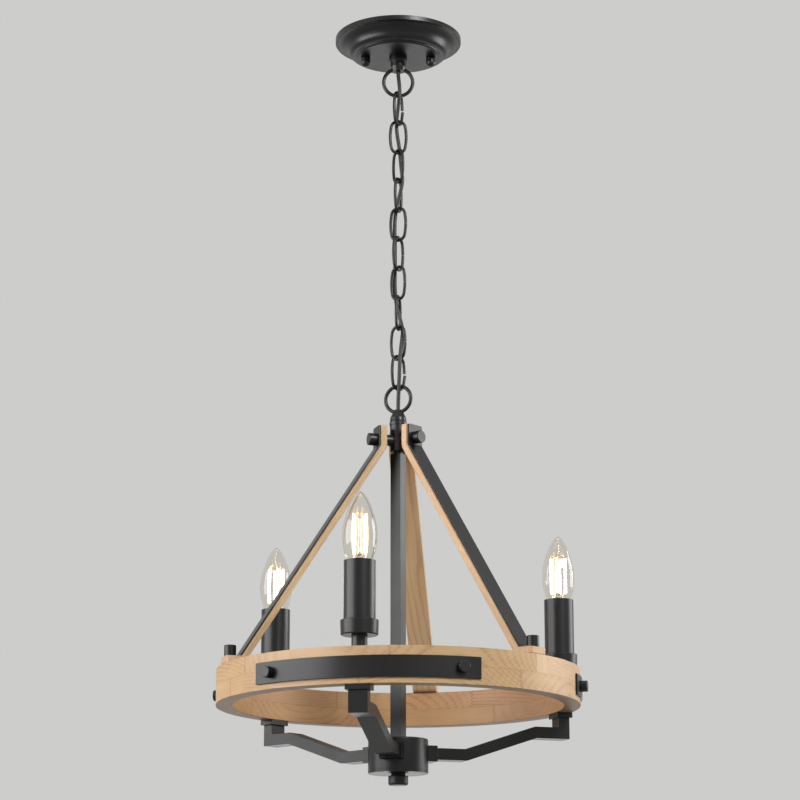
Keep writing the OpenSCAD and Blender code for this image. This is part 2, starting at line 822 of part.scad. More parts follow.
// The arm's hollow runs through both of its ends
module arm_bore() {
    arm_side(arm_wall);
    half = arm_t / 2 - arm_wall;
    translate([0, arm_low_z - half])
        square([drum_d / 2, 2 * half]);
    translate([candle_r - half, arm_high_z])
        square([2 * half, rim_bottom - arm_high_z]);
}

module arm_plates() {
    color(black_metal)
        for (a = candle_azimuths)
            at_azimuth(a)
                translate([candle_r, 0, rim_bottom - plate_h])
                    difference() {
                        translate([-plate_len / 2, -plate_w / 2, 0])
                            cube([plate_len, plate_w, plate_h]);
                        translate([0, 0, -cut])
                            cylinder(h = plate_h + 2 * cut, r = pipe_r + fit_gap);
                    }
}

module candle_pipes() {
    pipe_top = sleeve_top - lamp_socket_h - 7;
    pipe_bottom = rim_bottom - plate_h;
    color(zinc_metal)
        for (a = candle_azimuths)
            at_azimuth(a)
                translate([candle_r, 0, pipe_bottom])
                    ring(pipe_r, bore_r, pipe_top - pipe_bottom);
}

module arm_leads() {
    low = arm_low_z - arm_t / 2 + arm_wall + arm_lead_r + lead_lift;
    high = arm_high_z - arm_t / 2 + arm_wall + arm_lead_r + lead_lift;
    color(white_plastic)
        for (a = candle_azimuths)
            at_azimuth(a)
                sweep(spline([[17, 0, low - 1], [26, 0, low], [50, 0, low], [arm_low_r, 0, low],
                    [arm_high_r, 0, high], [candle_r - 14, 0, high], [candle_r - 3.5, 0, high + 2.5],
                    [candle_r, 0, high + 12], [candle_r, 0, rim_bottom], [candle_r, 0, rim_top],
                    [candle_r, 0, sleeve_top - lamp_socket_h - 7]], 2), arm_lead_r, 8, [0, 1, 0]);
}

// ---- Hub under the wheel ----

module drum() {
    h = drum_h - drum_cover_t;
    hole = column_side + 2 * fit_gap;
    edge = 1.5;
    r = drum_d / 2;
    color(black_metal)
        difference() {
            rotate_extrude()
                polygon(concat([[0, drum_top - h], [r, drum_top - h]],
                    arc([r - edge, drum_top - edge], edge, 0, 90), [[0, drum_top]]));
            translate([0, 0, drum_top - h - cut])
                cylinder(h = h - drum_wall + cut, r = r - drum_wall);
            rotate([0, 0, column_turn])
                translate([-hole / 2, -hole / 2, drum_top - drum_wall - cut])
                    cube([hole, hole, drum_wall + 2 * cut]);
            for (a = candle_azimuths)
                at_azimuth(a)
                    translate([0, -arm_w / 2 - collar_extra, arm_low_z - arm_t / 2 - collar_extra])
                        cube([r + cut, arm_w + 2 * collar_extra, arm_t + 2 * collar_extra]);
        }
}

module drum_cover() {
    step_h = 1.5;
    color(black_metal)
        translate([0, 0, drum_bottom])
            difference() {
                union() {
                    cylinder(h = drum_cover_t, d = drum_d);
                    translate([0, 0, drum_cover_t])
                        cylinder(h = step_h, r = drum_d / 2 - drum_wall - fit_gap);
                }
                translate([0, 0, -cut])
                    cylinder(h = drum_cover_t + step_h + 2 * cut, r = m4_r + 1 + fit_gap);
            }
}

// Three wire connectors that stand on the cover
module drum_connectors() {
    floor_z = drum_bottom + drum_cover_t + 1.5;
    color(white_plastic)
        for (a = spoke_azimuths)
            at_azimuth(a)
                translate([17, 0, floor_z])
                    cylinder(h = connector_h, r1 = connector_r, r2 = connector_r - 1);
}

module finial() {
    neck = 7.5;
    stud_top = drum_bottom + drum_cover_t + 6;
    color(black_metal) {
        translate([0, 0, drum_bottom - finial_h])
            rotate_extrude()
                polygon(concat([[0, 0], [finial_d / 2 - 2, 0]], arc([finial_d / 2 - 2, 2], 2, -90, 0),
                    [[finial_d / 2, finial_h - 2.5], [neck, finial_h - 1.5], [neck, finial_h], [0, finial_h]]));
        translate([0, 0, drum_bottom - cut])
            cylinder(h = stud_top - drum_bottom + cut, r = m4_r + 1);
        translate([0, 0, drum_bottom + drum_cover_t + 1.5])
            cylinder(h = 3, r = 5, $fn = 6);
    }
}

// ---- Candles ----

module at_candle(i) {
    at_azimuth(candle_azimuths[i])
        translate([candle_r, 0, 0])
            children();
}

module candle_cup(i) {
    r = cup_d / 2;
    foot = rim_top + cup_lift;
    lip = foot + cup_h;
    edge = 1.2;
    color(black_metal)
        at_candle(i)
            difference() {
                rotate_extrude()
                    polygon(concat([[0, rim_top], [cup_stem_r, rim_top], [cup_stem_r, foot]],
                        [[r - edge - 0.4, foot]], arc([r - edge - 0.4, foot + edge], edge, -90, 0, 4),
                        [[r, lip - edge], [r, lip - 0.4], [r - 0.4, lip], [0, lip]]));
                translate([0, 0, sleeve_z])
                    cylinder(h = cup_h, r = sleeve_d / 2 + fit_gap);
                translate([0, 0, rim_top - cut])
                    cylinder(h = 2 * cup_h, r = pipe_r + fit_gap);
            }
}

module candle_sleeve(i) {
    color(black_metal)
        at_candle(i)
            translate([0, 0, sleeve_z])
                ring(sleeve_d / 2, sleeve_d / 2 - sleeve_wall, sleeve_h);
}

// Sockets stand on the pipes; each takes a screwed bulb base in its round mouth
module lamp_sockets() {
    foot_h = 8;
    bottom = lamp_socket_top - lamp_socket_h;
    color(white_plastic)
        for (i = [0:2])
            at_candle(i)
                difference() {
                    union() {
                        translate([0, 0, bottom])
                            cylinder(h = lamp_socket_h, r = lamp_socket_r);
                        translate([0, 0, bottom - foot_h])
                            cylinder(h = foot_h, r = pipe_r + 2.2);
                    }
                    translate([0, 0, lamp_socket_top - base_len - 2])
                        cylinder(h = base_len + 2 + cut, r = base_r + base_gap);
                    translate([0, 0, bottom - foot_h - cut])
                        cylinder(h = foot_h + cut, r = pipe_r + fit_gap);
                }
}

function bulb_outline(inset) = let (r = bulb_d / 2)
    spline([for (p = [[glass_neck_r, 0], [glass_neck_r + 0.2, 5], [r * 0.9, 15], [r, 28], [r * 0.975, 39],
        [r * 0.79, 52.6], [r * 0.53, 65], [r * 0.24, 72.8], [inset, glass_len]])
        [p.x - inset, glass_z + p.y - inset * p.y / glass_len]], 3);

module bulb_glass(i) {
    outer = bulb_outline(0);
    inner = bulb_outline(bulb_t);
    last = len(outer) - 1;
    color(warm_glass)
        at_candle(i)
            rotate_extrude()
                polygon(concat(outer, [for (k = [last:-1:0]) inner[k]]));
}

// Screwed metal base with its contact, and the cap that holds the glass
module bulb_base(i) {
    shell_h = 17;
    cap_r = glass_neck_r - bulb_t - 0.3;
    color(zinc_metal)
        at_candle(i)
            rotate_extrude()
                polygon([[0, lamp_socket_top - base_len + 1], [2.6, lamp_socket_top - base_len + 1],
                    [4.5, lamp_socket_top - shell_h], [base_r, lamp_socket_top - shell_h],
                    [base_r, lamp_socket_top + 0.3], [cap_r, glass_z - 0.2], [cap_r, glass_z + 0.6],
                    [3.4, glass_z + 0.6], [2.4, glass_z + 9], [0, glass_z + 9]]);
}

mount_strap();
stud_strap();
strap_nut();
nipple();
canopy_screws();
canopy();
cap_nuts();
top_loop();
terminal_block();
canopy_leads();
cord();
for (i = [0:link_count - 1])
    chain_link(i);
bottom_loop();
top_hub();
column();
for (i = [0:2])
    spoke_wood(i);
for (i = [0:2])
    spoke_strap(i);
hub_bolts();
foot_bolts();
wheel_rim();
for (i = [0:2])
    rim_band(i);
band_bolts();
for (i = [0:2])
    arm(i);
arm_plates();
arm_leads();
drum();
drum_cover();
drum_connectors();
finial();
candle_pipes();
for (i = [0:2])
    candle_cup(i);
for (i = [0:2])
    candle_sleeve(i);
lamp_sockets();
for (i = [0:2])
    bulb_glass(i);
for (i = [0:2])
    bulb_base(i);
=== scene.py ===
"""Bulbs, cord, finishes and a plain studio for a three-light wagon wheel chandelier."""

import json
import math

import bpy
from mathutils import Matrix, Vector

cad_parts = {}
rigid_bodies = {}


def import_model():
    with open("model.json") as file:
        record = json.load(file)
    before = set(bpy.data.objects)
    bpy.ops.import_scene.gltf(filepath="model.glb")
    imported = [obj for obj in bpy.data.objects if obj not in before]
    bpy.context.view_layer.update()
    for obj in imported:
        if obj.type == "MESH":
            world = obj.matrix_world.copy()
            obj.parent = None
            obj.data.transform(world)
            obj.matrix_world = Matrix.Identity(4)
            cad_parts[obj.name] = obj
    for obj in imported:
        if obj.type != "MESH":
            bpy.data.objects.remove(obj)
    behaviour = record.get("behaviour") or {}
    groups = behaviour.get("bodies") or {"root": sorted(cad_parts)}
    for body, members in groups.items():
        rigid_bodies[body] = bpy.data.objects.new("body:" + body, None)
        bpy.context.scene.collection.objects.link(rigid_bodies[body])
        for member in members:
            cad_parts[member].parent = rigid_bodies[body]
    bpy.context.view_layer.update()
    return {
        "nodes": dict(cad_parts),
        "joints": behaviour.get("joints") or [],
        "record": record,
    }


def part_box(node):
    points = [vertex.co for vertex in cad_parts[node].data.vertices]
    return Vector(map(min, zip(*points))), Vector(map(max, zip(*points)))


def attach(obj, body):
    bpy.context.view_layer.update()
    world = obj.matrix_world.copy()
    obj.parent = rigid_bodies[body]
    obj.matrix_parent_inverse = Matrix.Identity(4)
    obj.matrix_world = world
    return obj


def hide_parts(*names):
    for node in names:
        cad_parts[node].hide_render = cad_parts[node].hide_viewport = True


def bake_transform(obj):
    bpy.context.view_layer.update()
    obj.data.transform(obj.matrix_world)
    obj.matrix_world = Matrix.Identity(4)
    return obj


bl_info = {
    "name": "Wagon Wheel Chandelier",
    "version": (1, 0, 0),
    "blender": (4, 5, 0),
    "location": "View3D > Sidebar > Chandelier",
    "description": "Bulbs, cord, wood and metal finishes and a plain studio for a wagon wheel chandelier",
    "category": "Object",
}

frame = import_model()

# Lengths are in metres, and azimuths turn from the front towards the viewer's right
SMOOTH_ANGLE = math.radians(40)
CANDLES = (1, 2, 3)
CANDLE_STEP = math.radians(120)
GLASS_LOW, GLASS_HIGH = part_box("bulb_glass_1")
BULB_BOX = GLASS_HIGH - GLASS_LOW
CANDLE_PLACE = Vector(((GLASS_LOW.x + GLASS_HIGH.x) / 2, (GLASS_LOW.y + GLASS_HIGH.y) / 2, GLASS_LOW.z))

RIM_LOW, RIM_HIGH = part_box("wheel_rim")
RIM_RADIUS = RIM_HIGH.x
RIM_MIDDLE = (RIM_LOW.z + RIM_HIGH.z) / 2
HOLLOW_SHADE_REACH = (0.016, 0.001)  # how deep inside the outer face the warmer painted shade of the hollow is full, and where it starts
# height above the wheel's underside that takes the painted shade
UNDERSIDE_SHADE_REACH = 0.0004
LAYER_STAGGER = 0.18  # share of a board between the joints of the two layers
JOINT_AZIMUTH = math.radians(48.9)
KEY_HALF_WIDTH = 0.0078
FINGER_HALF_PITCH = 0.0018
FINGER_SLOPE = 1.7
FINGER_START = -0.0015

# Sloping part of a spoke, from its bend at the hub down to its foot on the rim
SPOKE_AZIMUTH = math.radians(48)
SPOKE_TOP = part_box("spoke_wood_1")[1].z
SPOKE_BEND_DROP = 0.0215
SPOKE_BEND_RADIUS = 0.0165
SPOKE_FOOT_RADIUS = 0.169
SPOKE_FALL = math.atan2(SPOKE_TOP - SPOKE_BEND_DROP - RIM_HIGH.z, SPOKE_FOOT_RADIUS - SPOKE_BEND_RADIUS)
SPOKE_FACE = 0.36  # brings the spoke's face close to the origin of the grain

# Radii of the softened edges
WHEEL_EDGE = 0.0012
SPOKE_EDGE = 0.001
ZINC_EDGE = 0.0003

# Colours that darken the wood where they are multiplied with it; all but pore and glue are painted shade
WOOD_TINTS = {
    "pore": (0.45, 0.30, 0.18, 1.0),
    "glue": (0.42, 0.26, 0.14, 1.0),
    # painted shade in the hollow of the wheel
    "inside": (0.72, 0.60, 0.475, 1.0),
    # greyer painted shade on the underside of the wheel
    "underside_shade": (0.70, 0.71, 0.76, 1.0),
    "foot shadow": (0.22, 0.12, 0.07, 1.0),
}

# The photograph's camera
CAMERA_PLACE = (0, -2.50794, -1.05568)
CAMERA_RISE = 0.25
CAMERA_LENS = 108.104
CAMERA_SENSOR = 36
CAMERA_SHIFT = (0.00225, -0.00104)

# Lamps: name, place, width and height, power in watts
LAMPS = (
    ("left_box", (-1.45, -0.56, -0.22), (1.70, 0.90), 27.0),
    ("right_box", (1.55, 0.42, -0.22), (0.90, 0.90), 15.0),
    ("front_box", (1.35, -2.05, 0.9), (0.9, 0.8), 54.0),
    ("top_box", (-0.4, -0.3, 1.6), (1.3, 1.3), 6.0),
    ("back_box", (0.0, 2.9, -1.22), (2.2, 0.8), 5.0),
)
LAMP_TARGET = Vector((0, 0, -0.5))
FLOOR_SIZE = 12
FLOOR_GLOW = 0.7  # share of the surroundings' own colour that the eye sees on the floor

# Centre line of the cord, from the canopy to the lower hub; the last three points lie in the column
CORD_ROUTE = (
    (0, 0, -0.006), (0, 0, -0.022), (0, 0, -0.036), (0.0002, -0.0008, -0.044), (0.0009, -0.003, -0.0515),
    (0.0015, -0.0047, -0.06), (0.0015, -0.0047, -0.0685), (0.0001, -0.0017, -0.0793),
    (-0.0012, 0.0024, -0.0901), (-0.0019, 0.0052, -0.1009), (-0.001, 0.0056, -0.1116),
    (0.0006, 0.0053, -0.1224), (0.0019, 0.0043, -0.1332), (0.0027, 0.0027, -0.1439),
    (0.0037, 0.0012, -0.1547), (0.0046, 0.0007, -0.1655), (0.0031, 0.0016, -0.1763), (0.0005, 0.0033, -0.187),
    (-0.0018, 0.005, -0.1978), (-0.0033, 0.0057, -0.2086), (-0.0038, 0.0059, -0.2193),
    (-0.0036, 0.006, -0.2409), (-0.0034, 0.007, -0.2624), (-0.0035, 0.0075, -0.2732),
    (-0.0036, 0.0075, -0.284), (-0.0032, 0.0072, -0.2947), (-0.0021, 0.0064, -0.3055),
    (-0.0001, 0.0051, -0.3163), (0.0028, 0.0037, -0.3271), (0.0047, 0.0011, -0.3378),
    (0.0041, -0.002, -0.3486), (0.003, -0.0046, -0.3594), (0.002, -0.0065, -0.3701),
    (0.0015, -0.007, -0.3809), (0.0012, -0.0065, -0.3917), (0.0007, -0.0053, -0.4025),
    (0.0003, -0.0034, -0.412), (0, -0.0012, -0.421), (0, 0, -0.43), (0, 0, -0.442), (0, 0, -0.6),
    (0, 0, -0.782), (0, 0, -0.79),
)
STRAIGHT_POINTS = 3
# The first and last cut of the cord lie this far above the first joint and below the last
TOP_CUT = 0.016
BOTTOM_CUT = 0.0108

# Outline of the candle bulb: share of its radius and share of its height
BULB_OUTLINE = (
    (0.697, 0.0), (0.70, 0.03), (0.709, 0.066), (0.79, 0.125), (0.90, 0.197), (0.968, 0.28), (1.0, 0.368),
    (0.998, 0.44), (0.975, 0.513), (0.90, 0.605), (0.789, 0.692), (0.665, 0.78), (0.53, 0.855), (0.39, 0.912),
    (0.24, 0.958), (0.11, 0.987),
)

# Radius of the wires that carry the filaments
WIRE_RADIUS = 0.0003

# Outline of the stem in the bulb: radius and height above the glass's neck
STEM_OUTLINE = (
    (0.0100, 0.0008), (0.0098, 0.0016), (0.0072, 0.0030), (0.0050, 0.0050), (0.0041, 0.0072), (0.0036, 0.0095),
    (0.0030, 0.0110), (0.0021, 0.0124), (0.0016, 0.0136), (0.0013, 0.0160), (0.0012, 0.0300), (0.0012, 0.0475),
    (0.0019, 0.0500), (0.0021, 0.0515), (0.0012, 0.0528),
)


# ---- Settings ----

class BulbSettings(bpy.types.PropertyGroup):
    diameter: bpy.props.FloatProperty(
        name="Bulb diameter", description="Widest diameter of the glass", default=BULB_BOX.x, unit="LENGTH")
    length: bpy.props.FloatProperty(
        name="Glass length", description="Height of the glass above its neck", default=BULB_BOX.z,
        unit="LENGTH")
    glass_wall: bpy.props.FloatProperty(
        name="Glass wall", description="Thickness of the bulb's glass", default=0.0008, unit="LENGTH")
    filament_length: bpy.props.FloatProperty(
        name="Filament length", description="Length of one filament stick", default=0.038, unit="LENGTH")
    filament_radius: bpy.props.FloatProperty(
        name="Filament radius", description="Radius of one filament stick", default=0.0012, unit="LENGTH")
    filament_ring: bpy.props.FloatProperty(
        name="Filament ring", description="Distance from the bulb's axis to each filament", default=0.0078,
        unit="LENGTH")
    filament_foot: bpy.props.FloatProperty(
        name="Filament foot", description="Height of the filaments' lower ends above the glass's neck",
        default=0.013, unit="LENGTH")
    filament_count: bpy.props.IntProperty(
        name="Filaments", description="Number of filament sticks in one bulb", default=4, min=2, max=8)
    light_colour: bpy.props.FloatVectorProperty(
        name="Light colour", description="Colour of the lit filaments", subtype="COLOR", size=4,
        default=(1.0, 0.80, 0.50, 1.0))
    light_strength: bpy.props.FloatProperty(
        name="Light strength", description="Strength of the lit filaments", default=13.0)


class CordSettings(bpy.types.PropertyGroup):
    diameter: bpy.props.FloatProperty(
        name="Cord diameter", description="Outside diameter of the cord", default=0.0042, unit="LENGTH")
    roundness: bpy.props.IntProperty(
        name="Cord roundness", description="How finely the cord's round outline is divided", default=5, min=3,
        max=12)
    bend_reach: bpy.props.FloatProperty(
        name="Bend reach", description="Distance past each chain joint over which the cord turns",
        default=0.008, unit="LENGTH")
    colour: bpy.props.FloatVectorProperty(
        name="Cord colour", description="Colour of the cord's jacket", subtype="COLOR", size=4,
        default=(0.012, 0.012, 0.012, 1.0))


class WoodSettings(bpy.types.PropertyGroup):
    pale: bpy.props.FloatVectorProperty(
        name="Early wood", description="Colour of the pale wood between the rings", subtype="COLOR", size=4,
        default=(0.58, 0.383, 0.205, 1.0))
    dark: bpy.props.FloatVectorProperty(
        name="Late wood", description="Colour of the darker rings", subtype="COLOR", size=4,
        default=(0.41, 0.232, 0.107, 1.0))
    key: bpy.props.FloatVectorProperty(
        name="Key", description="Colour of the pale key in the wheel", subtype="COLOR", size=4,
        default=(0.66, 0.46, 0.26, 1.0))
    ring_spacing: bpy.props.FloatProperty(
        name="Ring spacing", description="Distance between growth rings", default=0.0034, unit="LENGTH")
    board_set: bpy.props.IntProperty(
        name="Board set", description="Which boards the wheel is glued from", default=3, min=0)
    boards: bpy.props.IntProperty(
        name="Boards", description="Boards in each layer of the wheel", default=7, min=4, max=16)


class CoatSettings(bpy.types.PropertyGroup):
    colour: bpy.props.FloatVectorProperty(
        name="Coat colour", description="Colour of the powder coat", subtype="COLOR", size=4,
        default=(0.0025, 0.0025, 0.0027, 1.0))
    roughness: bpy.props.FloatProperty(
        name="Coat roughness", description="Roughness of the powder coat", default=0.34, min=0.0, max=1.0)
    edge_radius: bpy.props.FloatProperty(
        name="Edge radius", description="How far the coat softens an edge", default=0.0006, unit="LENGTH")


class StudioSettings(bpy.types.PropertyGroup):
    backdrop: bpy.props.FloatVectorProperty(
        name="Backdrop colour", description="Colour of the surroundings", subtype="COLOR", size=4,
        default=(0.61, 0.61, 0.60, 1.0))
    floor_colour: bpy.props.FloatVectorProperty(
        name="Floor colour", description="Colour of the floor itself", subtype="COLOR", size=4,
        default=(0.55, 0.54, 0.52, 1.0))
    floor_height: bpy.props.FloatProperty(
        name="Floor height", description="Height of the floor, negative below the ceiling plane", default=-2.6,
        unit="LENGTH")
    fill: bpy.props.FloatProperty(
        name="Fill light", description="Strength of the even light from all sides", default=0.27)


# ---- Modelling helpers ----

def up(height):
    return Vector((0, 0, height))


def deselect():
    bpy.ops.object.select_all(action="DESELECT")


def choose(*pieces):
    """Selects these pieces alone and makes the first one active."""
    deselect()
    for piece in pieces:
        piece.select_set(True)
    bpy.context.view_layer.objects.active = pieces[0]


def settled(name):
    """Names the active piece and moves its place, turn and size into its mesh."""
    piece = bpy.context.object
    piece.name = name
    piece.data.name = name
    bpy.ops.object.transform_apply(location=True, rotation=True, scale=True)
    bpy.ops.object.shade_smooth_by_angle(angle=SMOOTH_ANGLE)
    return piece


def apply_all(piece):
    """Applies the piece's modifiers in order."""
    choose(piece)
    for modifier in list(piece.modifiers):
        bpy.ops.object.modifier_apply(modifier=modifier.name)


def facing_out(piece):
    """Merges doubled points and turns the faces outwards."""
    choose(piece)
    bpy.ops.object.mode_set(mode="EDIT")
    bpy.ops.mesh.select_all(action="SELECT")
    bpy.ops.mesh.remove_doubles(threshold=0.00001)
    bpy.ops.mesh.normals_make_consistent(inside=False)
    bpy.ops.object.mode_set(mode="OBJECT")


def turned(outline, place, sides):
    """Turns an outline of (radius, height) points about a vertical axis and closes its top."""
    deselect()
    radius, height = outline[0]
    bpy.ops.mesh.primitive_circle_add(
        vertices=sides, radius=radius, location=place + up(height), enter_editmode=True)
    for (r0, h0), (r1, h1) in zip(outline, outline[1:]):
        bpy.ops.mesh.extrude_region_move(TRANSFORM_OT_translate={"value": (0, 0, h1 - h0)})
        bpy.ops.transform.resize(
            value=(r1 / r0, r1 / r0, 1), center_override=(place.x, place.y, place.z + h1))
    bpy.ops.mesh.edge_face_add()
    bpy.ops.mesh.poke()
    bpy.ops.object.mode_set(mode="OBJECT")
    return bpy.context.object


def wire(name, points, radius, roundness):
    """A round wire through the points, as a mesh."""
    deselect()
    curve = bpy.data.curves.new(name, "CURVE")
    curve.dimensions = "3D"
    curve.bevel_depth = radius
    curve.bevel_resolution = roundness
    curve.use_fill_caps = True
    spline = curve.splines.new("POLY")
    spline.points.add(len(points) - 1)
    for point, place in zip(spline.points, points):
        point.co = (*place, 1)
    piece = bpy.data.objects.new(name, curve)
    bpy.context.scene.collection.objects.link(piece)
    choose(piece)
    bpy.ops.object.convert(target="MESH")
    return settled(name)


def joined(name, pieces):
    """Joins the pieces into one."""
    choose(*pieces)
    bpy.ops.object.join()
    return settled(name)


def candle_copies(piece, name):
    """Copies a piece made at the first candle to the other two, each with its own mesh."""
    piece.name = name + "_1"
    piece.data.name = piece.name
    copies = [piece]
    for i in CANDLES[1:]:
        copy = piece.copy()
        copy.data = piece.data.copy()
        copy.name = f"{name}_{i}"
        copy.data.name = copy.name
        copy.data.transform(Matrix.Rotation(CANDLE_STEP * (i - 1), 4, "Z"))
        bpy.context.scene.collection.objects.link(copy)
        copies.append(copy)
    return copies


def smooth_path(points, steps):
    """Points on a smooth curve through the given points."""
    p = [Vector(q) for q in points]
    path = []
    for i in range(len(p) - 1):
        a, b, c, d = p[max(i - 1, 0)], p[i], p[i + 1], p[min(i + 2, len(p) - 1)]
        for k in range(steps):
            t = k / steps
            path.append(b + (c - a) * t / 2 + (2 * a - 5 * b + 4 * c - d) * t * t / 2
                        + (3 * b - a - 3 * c + d) * t ** 3 / 2)
    path.append(p[-1])
    return path


def filament_directions(count):
    """The direction from the bulb's axis to each filament."""
    angles = (math.tau * (k + 0.5) / count for k in range(count))
    return [Vector((math.cos(angle), math.sin(angle), 0)) for angle in angles]


def stretch_of(path, top, bottom):
    """The part of a falling path between two heights, with a point at each."""
    part = []
    for a, b in zip(path, path[1:]):
        for height in (top, bottom):
            if a.z > height > b.z:
                part.append(a.lerp(b, (a.z - height) / (a.z - b.z)))
        if top >= b.z >= bottom:
            part.append(b)
    if top >= path[0].z:
        part.insert(0, path[0])
    return sorted(part, key=lambda point: -point.z)


# ---- Shader helpers ----

def set_input(tree, socket, value):
    """Gives an input socket a value, or links it to the socket that feeds it."""
    if isinstance(value, bpy.types.NodeSocket):
        tree.links.new(value, socket)
    else:
        socket.default_value = value


def add_node(tree, kind, inputs=None, **settings):
    """Adds a shader node; inputs go by name or number, each a value or the socket that feeds it."""
    new = tree.nodes.new(kind)
    for key, value in settings.items():
        setattr(new, key, value)
    for key, value in (inputs or {}).items():
        set_input(tree, new.inputs[key], value)
    return new


def maths(tree, operation, *values):
    return add_node(tree, "ShaderNodeMath", dict(enumerate(values)), operation=operation).outputs[0]


def vector_maths(tree, operation, *values):
    return add_node(tree, "ShaderNodeVectorMath", dict(enumerate(values)), operation=operation).outputs[0]


def axes_of(tree, vector):
    return add_node(tree, "ShaderNodeSeparateXYZ", {0: vector}).outputs


def vector_of(tree, x, y, z):
    return add_node(tree, "ShaderNodeCombineXYZ", {0: x, 1: y, 2: z}).outputs[0]


def length_of(tree, a, b):
    """Length of the diagonal over two sides."""
    squares = [maths(tree, "MULTIPLY", side, side) for side in (a, b)]
    return maths(tree, "SQRT", maths(tree, "ADD", *squares))


def chance_of(tree, number, seed):
    """A value from 0 to 1 that a number and a seed settle between them."""
    return maths(tree, "FRACT", maths(tree, "MULTIPLY", number, seed))


def ramp(tree, value, start, end, low, high, shape="LINEAR"):
    """Goes from low to high while the value goes from start to end, and holds there."""
    return add_node(tree, "ShaderNodeMapRange", {"Value": value, 1: start, 2: end, 3: low, 4: high},
                    interpolation_type=shape).outputs[0]


def noise(tree, place, scale, detail=2.0, roughness=0.5):
    """Smooth noise; three numbers as its scale stretch it along the axes."""
    if isinstance(scale, tuple):
        place, scale = vector_maths(tree, "MULTIPLY", place, scale), 1.0
    return add_node(tree, "ShaderNodeTexNoise", {
        "Vector": place, "Scale": scale, "Detail": detail, "Roughness": roughness}).outputs[0]


def relief(tree, height, strength, depth, normal=None):
    """A normal with a fine relief on it."""
    inputs = {"Strength": strength, "Distance": depth, "Height": height}
    if normal is not None:
        inputs["Normal"] = normal
    return add_node(tree, "ShaderNodeBump", inputs).outputs[0]


def colour_mix(tree, blend, factor, a, b):
    return add_node(tree, "ShaderNodeMix", {0: factor, 6: a, 7: b}, data_type="RGBA",
                    blend_type=blend).outputs[2]


def new_group(name, inputs, outputs):
    """An empty shader node group with named inputs and outputs: (group, input sockets, output node)."""
    group = bpy.data.node_groups.new(name, "ShaderNodeTree")
    for title, kind, value in inputs:
        socket = group.interface.new_socket(title, in_out="INPUT", socket_type=kind)
        if value is not None:
            socket.default_value = value
    for title, kind in outputs:
        group.interface.new_socket(title, in_out="OUTPUT", socket_type=kind)
    start = group.nodes.new("NodeGroupInput")
    end = group.nodes.new("NodeGroupOutput")
    return group, start.outputs, end


def use_group(tree, group, inputs):
    """Places a node group with its own values."""
    return add_node(tree, "ShaderNodeGroup", inputs, node_tree=group)


def new_material(name, preview):
    """A material with an empty node tree: (material, tree, shader)."""
    material = bpy.data.materials.new(name)
    material.use_nodes = True
    material.diffuse_color = preview
    tree = material.node_tree
    tree.nodes.clear()
    shader = tree.nodes.new("ShaderNodeBsdfPrincipled")
    out = tree.nodes.new("ShaderNodeOutputMaterial")
    tree.links.new(shader.outputs[0], out.inputs[0])
    return material, tree, shader


def feed(tree, shader, **sockets):
    """Sets the shader's inputs, named with an underscore for each space."""
    for name, value in sockets.items():
        set_input(tree, shader.inputs[name.replace("_", " ")], value)


def dress(material, *nodes):
    """Gives CAD nodes a finish."""
    for name in nodes:
        mesh = frame["nodes"][name].data
        mesh.materials.clear()
        mesh.materials.append(material)


